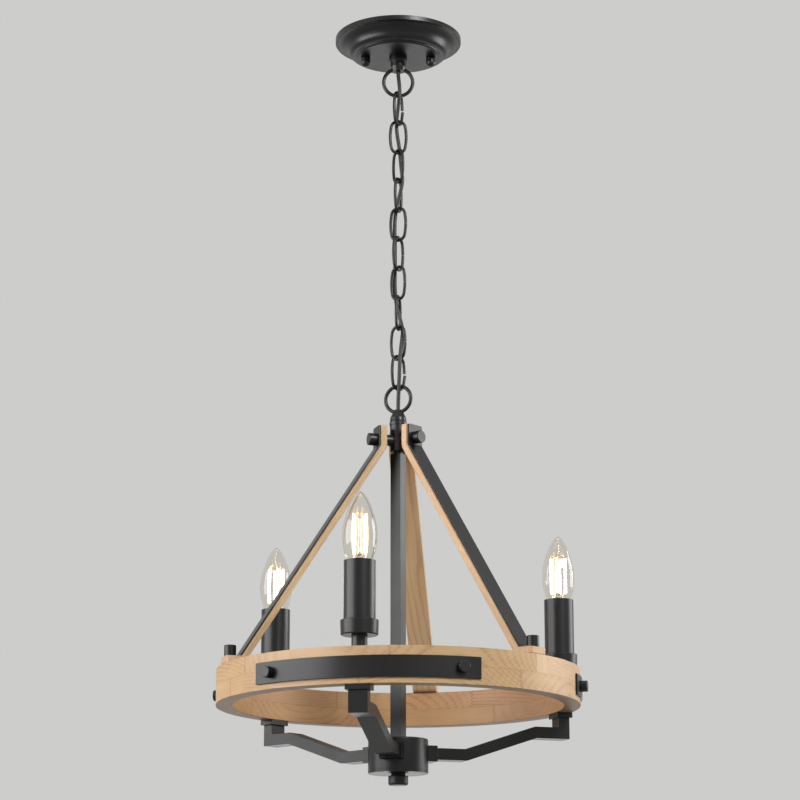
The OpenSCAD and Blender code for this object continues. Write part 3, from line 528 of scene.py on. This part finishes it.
def board_grain_group():
    """Growth rings, fibres and pores of one board whose grain runs along X."""
    group, given, end = new_group(
        "Board grain",
        [("Vector", "NodeSocketVector", None), ("Board", "NodeSocketFloat", 0.0),
         ("Pale", "NodeSocketColor", None), ("Dark", "NodeSocketColor", None),
         ("Ring Spacing", "NodeSocketFloat", 0.004)],
        [("Color", "NodeSocketColor"), ("Roughness", "NodeSocketFloat"), ("Height", "NodeSocketFloat")])
    board = given["Board"]
    # Every board takes its noise from a place of its own
    shift = vector_of(group, *(maths(group, "MULTIPLY", board, amount) for amount in (3.7, 0.9, 1.9)))
    place = vector_maths(group, "ADD", given["Vector"], shift)
    x, y, z = axes_of(group, given["Vector"])
    # The pith lies outside the board, on a side and at a tilt of its own
    side = maths(group, "MULTIPLY", chance_of(group, board, 5.3), math.tau)
    reach = maths(group, "MULTIPLY_ADD", chance_of(group, board, 17.9), 0.05, 0.035)
    tilt = maths(group, "MULTIPLY", x, maths(group, "MULTIPLY_ADD", board, 0.30, -0.15))
    across = maths(group, "ADD", maths(group, "ADD", y, tilt),
                   maths(group, "MULTIPLY", reach, maths(group, "COSINE", side)))
    through = maths(group, "ADD", maths(group, "SUBTRACT", z, tilt),
                    maths(group, "MULTIPLY", reach, maths(group, "SINE", side)))
    # Each ring darkens slowly and ends sharply
    drift = noise(group, place, (9.0, 22.0, 22.0), 1.0, 0.4)
    from_pith = maths(group, "MULTIPLY_ADD", drift, 0.012, length_of(group, across, through))
    phase = maths(group, "FRACT", maths(group, "DIVIDE", from_pith, given["Ring Spacing"]))
    ring = maths(group, "MULTIPLY", ramp(group, phase, 0.45, 0.95, 0.0, 1.0, "SMOOTHERSTEP"),
                 ramp(group, phase, 0.95, 1.0, 1.0, 0.0))
    fibre = noise(group, place, (30.0, 900.0, 900.0), 3.0, 0.6)
    cloud = noise(group, place, (14.0, 70.0, 70.0))
    pore = ramp(group, noise(group, place, (160.0, 2200.0, 2200.0), 1.0), 0.62, 0.72, 0.0, 1.0)
    # Rings show boldly in some boards and faintly in others
    bold = maths(group, "MULTIPLY", maths(group, "MULTIPLY_ADD", cloud, 0.9, 0.05),
                 maths(group, "MULTIPLY_ADD", chance_of(group, board, 29.3), 0.75, 0.25))
    amount = maths(group, "ADD", maths(group, "MULTIPLY", ring, bold),
                   maths(group, "MULTIPLY_ADD", fibre, 0.75, -0.26))
    amount = maths(group, "ADD", amount, maths(group, "MULTIPLY_ADD", cloud, 0.9, -0.40))
    factor = add_node(group, "ShaderNodeClamp", {0: amount}).outputs[0]
    colour = colour_mix(group, "MIX", factor, given["Pale"], given["Dark"])
    colour = colour_mix(group, "MULTIPLY", maths(group, "MULTIPLY", pore, 0.30), colour, WOOD_TINTS["pore"])
    tone = add_node(group, "ShaderNodeHueSaturation", {
        "Hue": maths(group, "MULTIPLY_ADD", board, 0.012, 0.494),
        "Saturation": maths(group, "MULTIPLY_ADD", chance_of(group, board, 7.3), 0.10, 0.93),
        "Value": maths(group, "MULTIPLY_ADD", chance_of(group, board, 13.7), 0.09, 0.98),
        "Color": colour}).outputs[0]
    height = maths(group, "SUBTRACT", maths(group, "MULTIPLY", fibre, 0.4), pore)
    roughness = maths(group, "MULTIPLY_ADD", fibre, 0.16, 0.42)
    for title, value in (("Color", tone), ("Roughness", roughness), ("Height", height)):
        group.links.new(value, end.inputs[title])
    return group


def soft_edge_group():
    """A normal that rounds the edges, as a coat of paint or a sanding does."""
    group, given, end = new_group(
        "Soft edges", [("Radius", "NodeSocketFloat", 0.0005)], [("Normal", "NodeSocketVector")])
    rounded = add_node(group, "ShaderNodeBevel", {"Radius": given["Radius"]}, samples=4)
    group.links.new(rounded.outputs[0], end.inputs["Normal"])
    return group


def softened(tree, soft_edges, radius):
    """The normal of a surface whose edges are rounded to a radius."""
    return use_group(tree, soft_edges, {"Radius": radius}).outputs[0]


def seen_directly(tree):
    """Whether the eye, a reflection or glass looks this way."""
    path = add_node(tree, "ShaderNodeLightPath").outputs
    return maths(tree, "MAXIMUM", maths(tree, "MAXIMUM", path["Is Camera Ray"], path["Is Glossy Ray"]),
                 path["Is Transmission Ray"])


def scaled(colour, factor):
    """The colour made lighter or darker, with full cover."""
    return [channel * factor for channel in colour[:3]] + [1.0]


def object_place(tree):
    return add_node(tree, "ShaderNodeTexCoord").outputs["Object"]


def azimuth_of(tree, x, y):
    """Angle round the column from the front, in radians."""
    return maths(tree, "ARCTAN2", x, maths(tree, "MULTIPLY", y, -1.0))


def board_wood(tree, settings, grain, place, chance):
    """The grain of one board, with the colours and the rings of the settings."""
    return use_group(tree, grain, {
        "Vector": place, "Board": chance, "Pale": settings.pale, "Dark": settings.dark,
        "Ring Spacing": settings.ring_spacing}).outputs


def finish_wood(tree, shader, colour, roughness, height, edges):
    """Sanded wood under a thin matt lacquer."""
    feed(tree, shader, Base_Color=colour, Roughness=roughness, Specular_IOR_Level=0.4,
         Normal=relief(tree, height, strength=0.35, depth=0.0003, normal=edges),
         Coat_Weight=0.08, Coat_Roughness=0.35)


def wheel_wood(settings, grain, soft_edges):
    """Boards glued end to end in two staggered layers, each with its own grain and tone."""
    material, tree, shader = new_material("wheel wood", settings.pale)
    x, y, z = axes_of(tree, object_place(tree))
    azimuth = azimuth_of(tree, x, y)
    radius = length_of(tree, x, y)
    height = maths(tree, "SUBTRACT", z, RIM_MIDDLE)
    upper = maths(tree, "GREATER_THAN", z, RIM_MIDDLE)
    # Fingers of the end joints
    zigzag = maths(tree, "PINGPONG", z, FINGER_HALF_PITCH)
    finger = maths(tree, "MULTIPLY_ADD", zigzag, FINGER_SLOPE, FINGER_START)
    # Which board this is, and the angle from its middle
    step = math.tau / settings.boards
    stagger = step * LAYER_STAGGER
    first = maths(tree, "MULTIPLY_ADD", upper, stagger, JOINT_AZIMUTH - stagger)
    angle = maths(tree, "SUBTRACT", azimuth, first)
    angle = maths(tree, "ADD", angle, maths(tree, "DIVIDE", finger, RIM_RADIUS))
    count = maths(tree, "DIVIDE", angle, step)
    index = maths(tree, "FLOOR", count)
    share = maths(tree, "SUBTRACT", count, index)
    local = maths(tree, "MULTIPLY", maths(tree, "SUBTRACT", share, 0.5), step)
    seed = vector_of(tree, index, upper, settings.board_set)
    chance = add_node(tree, "ShaderNodeTexWhiteNoise", {"Vector": seed}, noise_dimensions="3D").outputs[0]
    along = maths(tree, "MULTIPLY", radius, maths(tree, "SINE", local))
    across = maths(tree, "MULTIPLY", radius, maths(tree, "COSINE", local))
    depth = maths(tree, "SUBTRACT", across, RIM_RADIUS)
    wood = board_wood(tree, settings, grain, vector_of(tree, along, height, depth), chance)
    # Glue lines between the layers and the ends of the boards
    end_angle = maths(tree, "SUBTRACT", step / 2, maths(tree, "ABSOLUTE", local))
    end_line = ramp(tree, maths(tree, "MULTIPLY", end_angle, RIM_RADIUS), 0.0002, 0.0008, 0.75, 0.0)
    layer_line = ramp(tree, maths(tree, "ABSOLUTE", height), 0.0001, 0.0005, 0.30, 0.0)
    line = maths(tree, "MAXIMUM", layer_line, end_line)
    # A pale key let into the upper layer under the right spoke
    key_angle = maths(tree, "ABSOLUTE", maths(tree, "SUBTRACT", azimuth, JOINT_AZIMUTH))
    key = maths(tree, "LESS_THAN", maths(tree, "MULTIPLY", key_angle, RIM_RADIUS), KEY_HALF_WIDTH)
    key = maths(tree, "MULTIPLY", key, upper)
    line = maths(tree, "MULTIPLY", line, maths(tree, "SUBTRACT", 1.0, maths(tree, "MULTIPLY", key, 0.8)))
    colour = colour_mix(tree, "MIX", maths(tree, "MULTIPLY", key, 0.75), wood["Color"], settings.key)
    colour = colour_mix(tree, "MULTIPLY", line, colour, WOOD_TINTS["glue"])
    # Painted shade: the hollow of the wheel is made warmer and darker, and the underside greyer on top of it
    full, start = (RIM_RADIUS - reach for reach in HOLLOW_SHADE_REACH)
    inside = ramp(tree, radius, full, start, 0.85, 0.0, "SMOOTHSTEP")
    underside_shade_mask = maths(tree, "LESS_THAN", z, RIM_LOW.z + UNDERSIDE_SHADE_REACH)
    inside = maths(tree, "MAXIMUM", inside, underside_shade_mask)
    colour = colour_mix(tree, "MULTIPLY", inside, colour, WOOD_TINTS["inside"])
    colour = colour_mix(tree, "MULTIPLY", underside_shade_mask, colour, WOOD_TINTS["underside_shade"])
    finish_wood(tree, shader, colour, wood["Roughness"], maths(tree, "SUBTRACT", wood["Height"], line),
                softened(tree, soft_edges, WHEEL_EDGE))
    return material


def spoke_wood(settings, grain, soft_edges):
    """One straight board to each spoke, its grain along the slope."""
    material, tree, shader = new_material("spoke wood", settings.pale)
    x, y, z = axes_of(tree, object_place(tree))
    beyond_first = maths(tree, "SUBTRACT", azimuth_of(tree, x, y), SPOKE_AZIMUTH)
    index = maths(tree, "ROUND", maths(tree, "DIVIDE", beyond_first, CANDLE_STEP))
    turn = maths(tree, "MULTIPLY_ADD", index, -CANDLE_STEP, -SPOKE_AZIMUTH)
    sine, cosine = maths(tree, "SINE", turn), maths(tree, "COSINE", turn)
    # Outwards from the column is the azimuth turned back onto -Y
    out = maths(tree, "SUBTRACT", maths(tree, "MULTIPLY", x, maths(tree, "MULTIPLY", sine, -1.0)),
                maths(tree, "MULTIPLY", y, cosine))
    side = maths(tree, "SUBTRACT", maths(tree, "MULTIPLY", x, cosine), maths(tree, "MULTIPLY", y, sine))
    along = maths(tree, "SUBTRACT", maths(tree, "MULTIPLY", out, math.cos(SPOKE_FALL)),
                  maths(tree, "MULTIPLY", z, math.sin(SPOKE_FALL)))
    through = maths(tree, "ADD", maths(tree, "MULTIPLY", out, math.sin(SPOKE_FALL)),
                    maths(tree, "MULTIPLY", z, math.cos(SPOKE_FALL)))
    chance = maths(tree, "FRACT", maths(tree, "MULTIPLY_ADD", index, 0.37, 0.21))
    depth = maths(tree, "ADD", through, SPOKE_FACE)
    wood = board_wood(tree, settings, grain, vector_of(tree, along, side, depth), chance)
    # A painted shadow: a dark line where the foot rests on the wheel
    foot_shadow_line = ramp(tree, maths(tree, "SUBTRACT", z, RIM_HIGH.z), 0.0006, 0.0016, 0.8, 0.0)
    colour = colour_mix(tree, "MULTIPLY", foot_shadow_line, wood["Color"], WOOD_TINTS["foot shadow"])
    finish_wood(tree, shader, colour, wood["Roughness"], wood["Height"],
                softened(tree, soft_edges, SPOKE_EDGE))
    return material


def powder_coat(settings, soft_edges):
    """Satin black powder coat with a fine orange peel."""
    material, tree, shader = new_material("black powder coat", settings.colour)
    place = object_place(tree)
    mottle = noise(tree, place, 45.0, 3.0)
    feed(tree, shader, Specular_IOR_Level=0.40,
         Base_Color=colour_mix(tree, "MIX", mottle, settings.colour, scaled(settings.colour, 1.5)),
         Roughness=maths(tree, "MULTIPLY_ADD", mottle, 0.10, settings.roughness - 0.05),
         Normal=relief(tree, noise(tree, place, 1500.0), strength=0.10, depth=0.0002,
                       normal=softened(tree, soft_edges, settings.edge_radius)))
    return material


def zinc_steel(soft_edges):
    """Zinc-plated steel, a little dull and unevenly bright."""
    material, tree, shader = new_material("zinc steel", (0.55, 0.56, 0.58, 1.0))
    place = object_place(tree)
    spangle = add_node(tree, "ShaderNodeTexVoronoi", {"Vector": place, "Scale": 420.0}).outputs["Color"]
    shade = noise(tree, place, 130.0, 4.0)
    colour = colour_mix(tree, "MIX", shade, (0.42, 0.43, 0.45, 1.0), (0.66, 0.66, 0.66, 1.0))
    feed(tree, shader, Metallic=1.0, Base_Color=colour_mix(tree, "SOFT_LIGHT", 0.2, colour, spangle),
         Roughness=maths(tree, "MULTIPLY_ADD", shade, 0.22, 0.22),
         Normal=softened(tree, soft_edges, ZINC_EDGE))
    return material


def moulded_plastic(name, dark, light, roughness):
    """Moulded plastic with a faint grain."""
    material, tree, shader = new_material(name, light)
    place = object_place(tree)
    grain = noise(tree, place, 900.0)
    feed(tree, shader, Base_Color=colour_mix(tree, "MIX", noise(tree, place, 60.0), dark, light),
         Roughness=maths(tree, "MULTIPLY_ADD", grain, 0.12, roughness - 0.06),
         Normal=relief(tree, grain, strength=0.12, depth=0.0002))
    return material


def clear_glass(name, tint, ior, film):
    """Clear glass with faint waves and a thin dusty film."""
    material, tree, shader = new_material(name, tint)
    wave = noise(tree, object_place(tree), 55.0, 1.0)
    feed(tree, shader, Base_Color=tint, IOR=ior, Transmission_Weight=1.0,
         Roughness=maths(tree, "MULTIPLY", wave, film),
         Normal=relief(tree, wave, strength=0.12, depth=0.0008))
    return material


def lit_filament(settings):
    """A lit filament with an uneven phosphor coat."""
    material, tree, shader = new_material("lit filament", settings.light_colour)
    beads = noise(tree, object_place(tree), 700.0, 1.0)
    glow = colour_mix(tree, "MIX", maths(tree, "MULTIPLY", beads, 0.5), settings.light_colour,
                      (1.0, 0.9, 0.7, 1.0))
    feed(tree, shader, Base_Color=(0.9, 0.62, 0.2, 1.0), Roughness=0.6, Emission_Color=glow,
         Emission_Strength=settings.light_strength)
    return material


def brass_wire():
    """Slightly tarnished brass wire."""
    material, tree, shader = new_material("brass wire", (0.8, 0.6, 0.3, 1.0))
    tarnish = noise(tree, object_place(tree), 600.0)
    feed(tree, shader, Metallic=1.0, Roughness=maths(tree, "MULTIPLY_ADD", tarnish, 0.2, 0.2),
         Base_Color=colour_mix(tree, "MIX", tarnish, (0.75, 0.52, 0.22, 1.0), (0.9, 0.75, 0.45, 1.0)))
    return material


# ---- Operators ----

class ScenePiece:
    bl_options = {"REGISTER", "UNDO"}


class CHANDELIER_OT_camera(ScenePiece, bpy.types.Operator):
    """Camera at the height and angle of the photograph"""
    bl_idname = "chandelier.camera"
    bl_label = "Camera"

    def execute(self, context):
        deselect()
        bpy.ops.object.camera_add(location=CAMERA_PLACE, rotation=(math.pi / 2 + CAMERA_RISE, 0, 0))
        camera = context.object
        camera.name = "camera"
        camera.data.lens = CAMERA_LENS
        camera.data.sensor_width = CAMERA_SENSOR
        camera.data.shift_x, camera.data.shift_y = CAMERA_SHIFT
        camera.data.clip_end = 60
        context.scene.camera = camera
        return {"FINISHED"}


class CHANDELIER_OT_cord(ScenePiece, bpy.types.Operator):
    """Supply cord woven through the chain, in stretches cut at its links; the first and last go with the
    bodies above and below the chain
    """
    bl_idname = "chandelier.cord"
    bl_label = "Cord"

    def execute(self, context):
        settings = context.scene.chandelier_cord
        # Past the chain the cord drops straight down the column
        woven, straight = CORD_ROUTE[:-STRAIGHT_POINTS], CORD_ROUTE[-STRAIGHT_POINTS:]
        path = smooth_path(woven, steps=6) + [Vector(point) for point in straight]
        swings = [joint for joint in frame["joints"] if joint["name"].startswith("swing")]
        links = [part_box(f"link_{i}") for i in range(1, len(swings))]
        centres = [(low.z + high.z) / 2 for low, high in links]
        cuts = [swings[0]["pos_m"][2] + TOP_CUT, *centres, swings[-1]["pos_m"][2] - BOTTOM_CUT]
        jacket = moulded_plastic("cord jacket", settings.colour, scaled(settings.colour, 2.2), 0.5)
        spans = [(path[0].z, cuts[0]), *zip(cuts, cuts[1:]), (cuts[-1], path[-1].z)]
        for number, (top, bottom) in enumerate(spans):
            stretch = stretch_of(path, top, bottom)
            piece = wire(f"cord_{number}", stretch, settings.diameter / 2, settings.roundness)
            piece.data.materials.append(jacket)
            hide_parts("cord")
            if number == 0:
                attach(piece, swings[0]["parent"])
            elif number > len(swings):
                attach(piece, swings[-1]["child"])
            else:
                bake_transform(piece)
        return {"FINISHED"}


class CHANDELIER_OT_bulb_glass(ScenePiece, bpy.types.Operator):
    """Candle-shaped clear glass of the three bulbs"""
    bl_idname = "chandelier.bulb_glass"
    bl_label = "Bulb glass"

    def execute(self, context):
        settings = context.scene.chandelier_bulb
        outline = [(r * settings.diameter / 2, h * settings.length) for r, h in BULB_OUTLINE]
        turned(outline, CANDLE_PLACE, sides=32)
        piece = settled("bulb_glass")
        facing_out(piece)
        rounded = piece.modifiers.new("Rounded", "SUBSURF")
        rounded.levels = rounded.render_levels = 2
        wall = piece.modifiers.new("Wall", "SOLIDIFY")
        wall.thickness = settings.glass_wall
        wall.offset = -1
        apply_all(piece)
        bpy.ops.object.shade_smooth()
        piece.data.materials.append(clear_glass(
            "bulb glass", tint=(0.93, 0.905, 0.865, 1.0), ior=1.46, film=0.03))
        for i, copy in zip(CANDLES, candle_copies(piece, "clear_bulb")):
            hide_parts(f"bulb_glass_{i}")
            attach(copy, f"bulb_{i}")
        return {"FINISHED"}


class CHANDELIER_OT_bulb_stem(ScenePiece, bpy.types.Operator):
    """Flared glass stem and its post, which carry the filaments in each bulb"""
    bl_idname = "chandelier.bulb_stem"
    bl_label = "Bulb stem"

    def execute(self, context):
        turned(STEM_OUTLINE, CANDLE_PLACE, sides=20)
        piece = settled("stem")
        facing_out(piece)
        rounded = piece.modifiers.new("Rounded", "SUBSURF")
        rounded.levels = rounded.render_levels = 1
        apply_all(piece)
        bpy.ops.object.shade_smooth()
        piece.data.materials.append(clear_glass(
            "stem glass", tint=(0.96, 0.93, 0.86, 1.0), ior=1.5, film=0.05))
        for i, copy in zip(CANDLES, candle_copies(piece, "bulb_stem")):
            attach(copy, f"bulb_{i}")
        return {"FINISHED"}


class CHANDELIER_OT_filaments(ScenePiece, bpy.types.Operator):
    """Upright lit filaments round the stem of each bulb"""
    bl_idname = "chandelier.filaments"
    bl_label = "Filaments"

    def execute(self, context):
        settings = context.scene.chandelier_bulb
        middle = CANDLE_PLACE + up(settings.filament_foot + settings.filament_length / 2)
        sticks = []
        for out in filament_directions(settings.filament_count):
            deselect()
            bpy.ops.mesh.primitive_cylinder_add(
                vertices=16, radius=settings.filament_radius, depth=settings.filament_length,
                location=middle + out * settings.filament_ring)
            stick = context.object
            ends = stick.modifiers.new("Ends", "BEVEL")
            ends.width = settings.filament_radius * 0.6
            ends.segments = 3
            apply_all(stick)
            sticks.append(stick)
        piece = joined("filament", sticks)
        piece.data.materials.append(lit_filament(settings))
        for i, copy in zip(CANDLES, candle_copies(piece, "filaments")):
            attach(copy, f"bulb_{i}")
        return {"FINISHED"}


class CHANDELIER_OT_filament_wires(ScenePiece, bpy.types.Operator):
    """Thin wires that carry and join the filaments"""
    bl_idname = "chandelier.filament_wires"
    bl_label = "Filament wires"

    def execute(self, context):
        settings = context.scene.chandelier_bulb
        low = settings.filament_foot
        high = low + settings.filament_length
        wires = []
        for k, out in enumerate(filament_directions(settings.filament_count)):
            ring = out * settings.filament_ring
            # From the post out to the filament's foot, and from its top back to the post
            lower = [out * 0.0020 + up(low - 0.0035), out * 0.0036 + up(low - 0.0020),
                     ring + up(low - 0.0016), ring + up(low + 0.001)]
            upper = [ring + up(high - 0.001), ring + up(high + 0.002),
                     out * 0.004 + up(high + 0.0038), out * 0.0012 + up(high + 0.0012)]
            for n, run in enumerate((lower, upper)):
                points = [CANDLE_PLACE + point for point in smooth_path(run, steps=4)]
                wires.append(wire(f"wire_{k}_{n}", points, WIRE_RADIUS, roundness=2))
        piece = joined("wires", wires)
        piece.data.materials.append(brass_wire())
        for i, copy in zip(CANDLES, candle_copies(piece, "filament_wires")):
            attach(copy, f"bulb_{i}")
        return {"FINISHED"}


class CHANDELIER_OT_wood(ScenePiece, bpy.types.Operator):
    """Wood finish of the wheel and the spokes"""
    bl_idname = "chandelier.wood"
    bl_label = "Wood"

    def execute(self, context):
        settings = context.scene.chandelier_wood
        grain = board_grain_group()
        soft_edges = bpy.data.node_groups.get("Soft edges") or soft_edge_group()
        dress(wheel_wood(settings, grain, soft_edges), "wheel_rim")
        dress(spoke_wood(settings, grain, soft_edges), *(f"spoke_wood_{i}" for i in CANDLES))
        return {"FINISHED"}


class CHANDELIER_OT_metal(ScenePiece, bpy.types.Operator):
    """Black powder coat, zinc-plated steel and plastic of the remaining pieces"""
    bl_idname = "chandelier.metal"
    bl_label = "Metal and plastic"

    def execute(self, context):
        settings = context.scene.chandelier_coat
        soft_edges = bpy.data.node_groups.get("Soft edges") or soft_edge_group()
        finishes = {
            "black_powder_coat": powder_coat(settings, soft_edges),
            "zinc_steel": zinc_steel(soft_edges),
            "white_plastic": moulded_plastic(
                "white plastic", (0.70, 0.69, 0.65, 1.0), (0.82, 0.81, 0.78, 1.0), 0.42),
            "lead_insulation": moulded_plastic(
                "lead insulation", (0.20, 0.09, 0.04, 1.0), (0.30, 0.15, 0.07, 1.0), 0.45),
        }
        for part in frame["record"]["subparts"]:
            if part["material_slot"] in finishes:
                dress(finishes[part["material_slot"]], part["node"])
        return {"FINISHED"}


class CHANDELIER_OT_stage(ScenePiece, bpy.types.Operator):
    """Pale floor, soft lights and pale surroundings"""
    bl_idname = "chandelier.stage"
    bl_label = "Stage"

    def execute(self, context):
        settings = context.scene.chandelier_studio
        deselect()
        bpy.ops.mesh.primitive_plane_add(size=FLOOR_SIZE, location=(0, 0, settings.floor_height))
        floor = settled("floor")
        material, tree, shader = new_material("floor", settings.backdrop)
        feed(tree, shader, Roughness=0.9, Base_Color=colour_mix(
            tree, "MIX", noise(tree, object_place(tree), 3.0), settings.floor_colour,
            scaled(settings.floor_colour, 0.97)))
        glow = add_node(tree, "ShaderNodeEmission", {"Color": settings.backdrop, "Strength": 1.0})
        share = maths(tree, "MULTIPLY", seen_directly(tree), FLOOR_GLOW)
        both = add_node(tree, "ShaderNodeMixShader", {0: share, 1: shader.outputs[0], 2: glow.outputs[0]})
        tree.links.new(both.outputs[0], tree.get_output_node("ALL").inputs["Surface"])
        floor.data.materials.append(material)
        for name, place, size, energy in LAMPS:
            deselect()
            aim = (LAMP_TARGET - Vector(place)).to_track_quat("-Z", "Y")
            bpy.ops.object.light_add(type="AREA", location=place, rotation=aim.to_euler())
            lamp = context.object
            lamp.name = name
            lamp.data.shape = "RECTANGLE"
            lamp.data.size, lamp.data.size_y = size
            lamp.data.energy = energy
            lamp.visible_camera = lamp.visible_transmission = False
        world = bpy.data.worlds.new("surroundings")
        context.scene.world = world
        world.use_nodes = True
        tree = world.node_tree
        tree.nodes.clear()
        light = add_node(tree, "ShaderNodeBackground", {"Color": (1, 1, 1, 1), "Strength": settings.fill})
        pale = add_node(tree, "ShaderNodeBackground", {"Color": settings.backdrop, "Strength": 1.0})
        both = add_node(tree, "ShaderNodeMixShader", {
            0: seen_directly(tree), 1: light.outputs[0], 2: pale.outputs[0]})
        add_node(tree, "ShaderNodeOutputWorld", {0: both.outputs[0]})
        context.scene.view_settings.view_transform = "Standard"
        return {"FINISHED"}


class CHANDELIER_PT_panel(bpy.types.Panel):
    """Sidebar panel with every piece of the chandelier"""
    bl_idname = "CHANDELIER_PT_panel"
    bl_label = "Wagon Wheel Chandelier"
    bl_space_type = "VIEW_3D"
    bl_region_type = "UI"
    bl_category = "Chandelier"

    def draw(self, context):
        for group in SETTINGS:
            settings = getattr(context.scene, group)
            box = self.layout.box()
            for name in settings.bl_rna.properties.keys():
                if name not in ("rna_type", "name"):
                    box.prop(settings, name)
        for operator in OPERATORS:
            self.layout.operator(operator.bl_idname)


SETTINGS = {
    "chandelier_bulb": BulbSettings,
    "chandelier_cord": CordSettings,
    "chandelier_wood": WoodSettings,
    "chandelier_coat": CoatSettings,
    "chandelier_studio": StudioSettings,
}

OPERATORS = (
    CHANDELIER_OT_camera,
    CHANDELIER_OT_cord,
    CHANDELIER_OT_bulb_glass,
    CHANDELIER_OT_bulb_stem,
    CHANDELIER_OT_filaments,
    CHANDELIER_OT_filament_wires,
    CHANDELIER_OT_wood,
    CHANDELIER_OT_metal,
    CHANDELIER_OT_stage,
)


def register():
    for kind in (*SETTINGS.values(), *OPERATORS, CHANDELIER_PT_panel):
        bpy.utils.register_class(kind)
    for name, kind in SETTINGS.items():
        setattr(bpy.types.Scene, name, bpy.props.PointerProperty(type=kind))


def unregister():
    for name in SETTINGS:
        delattr(bpy.types.Scene, name)
    for kind in reversed((*SETTINGS.values(), *OPERATORS, CHANDELIER_PT_panel)):
        bpy.utils.unregister_class(kind)


def main():
    register()
    bpy.ops.chandelier.camera()
    bpy.ops.chandelier.cord()
    bpy.ops.chandelier.bulb_glass()
    bpy.ops.chandelier.bulb_stem()
    bpy.ops.chandelier.filaments()
    bpy.ops.chandelier.filament_wires()
    bpy.ops.chandelier.wood()
    bpy.ops.chandelier.metal()
    bpy.ops.chandelier.stage()


if __name__ == "__main__":
    main()
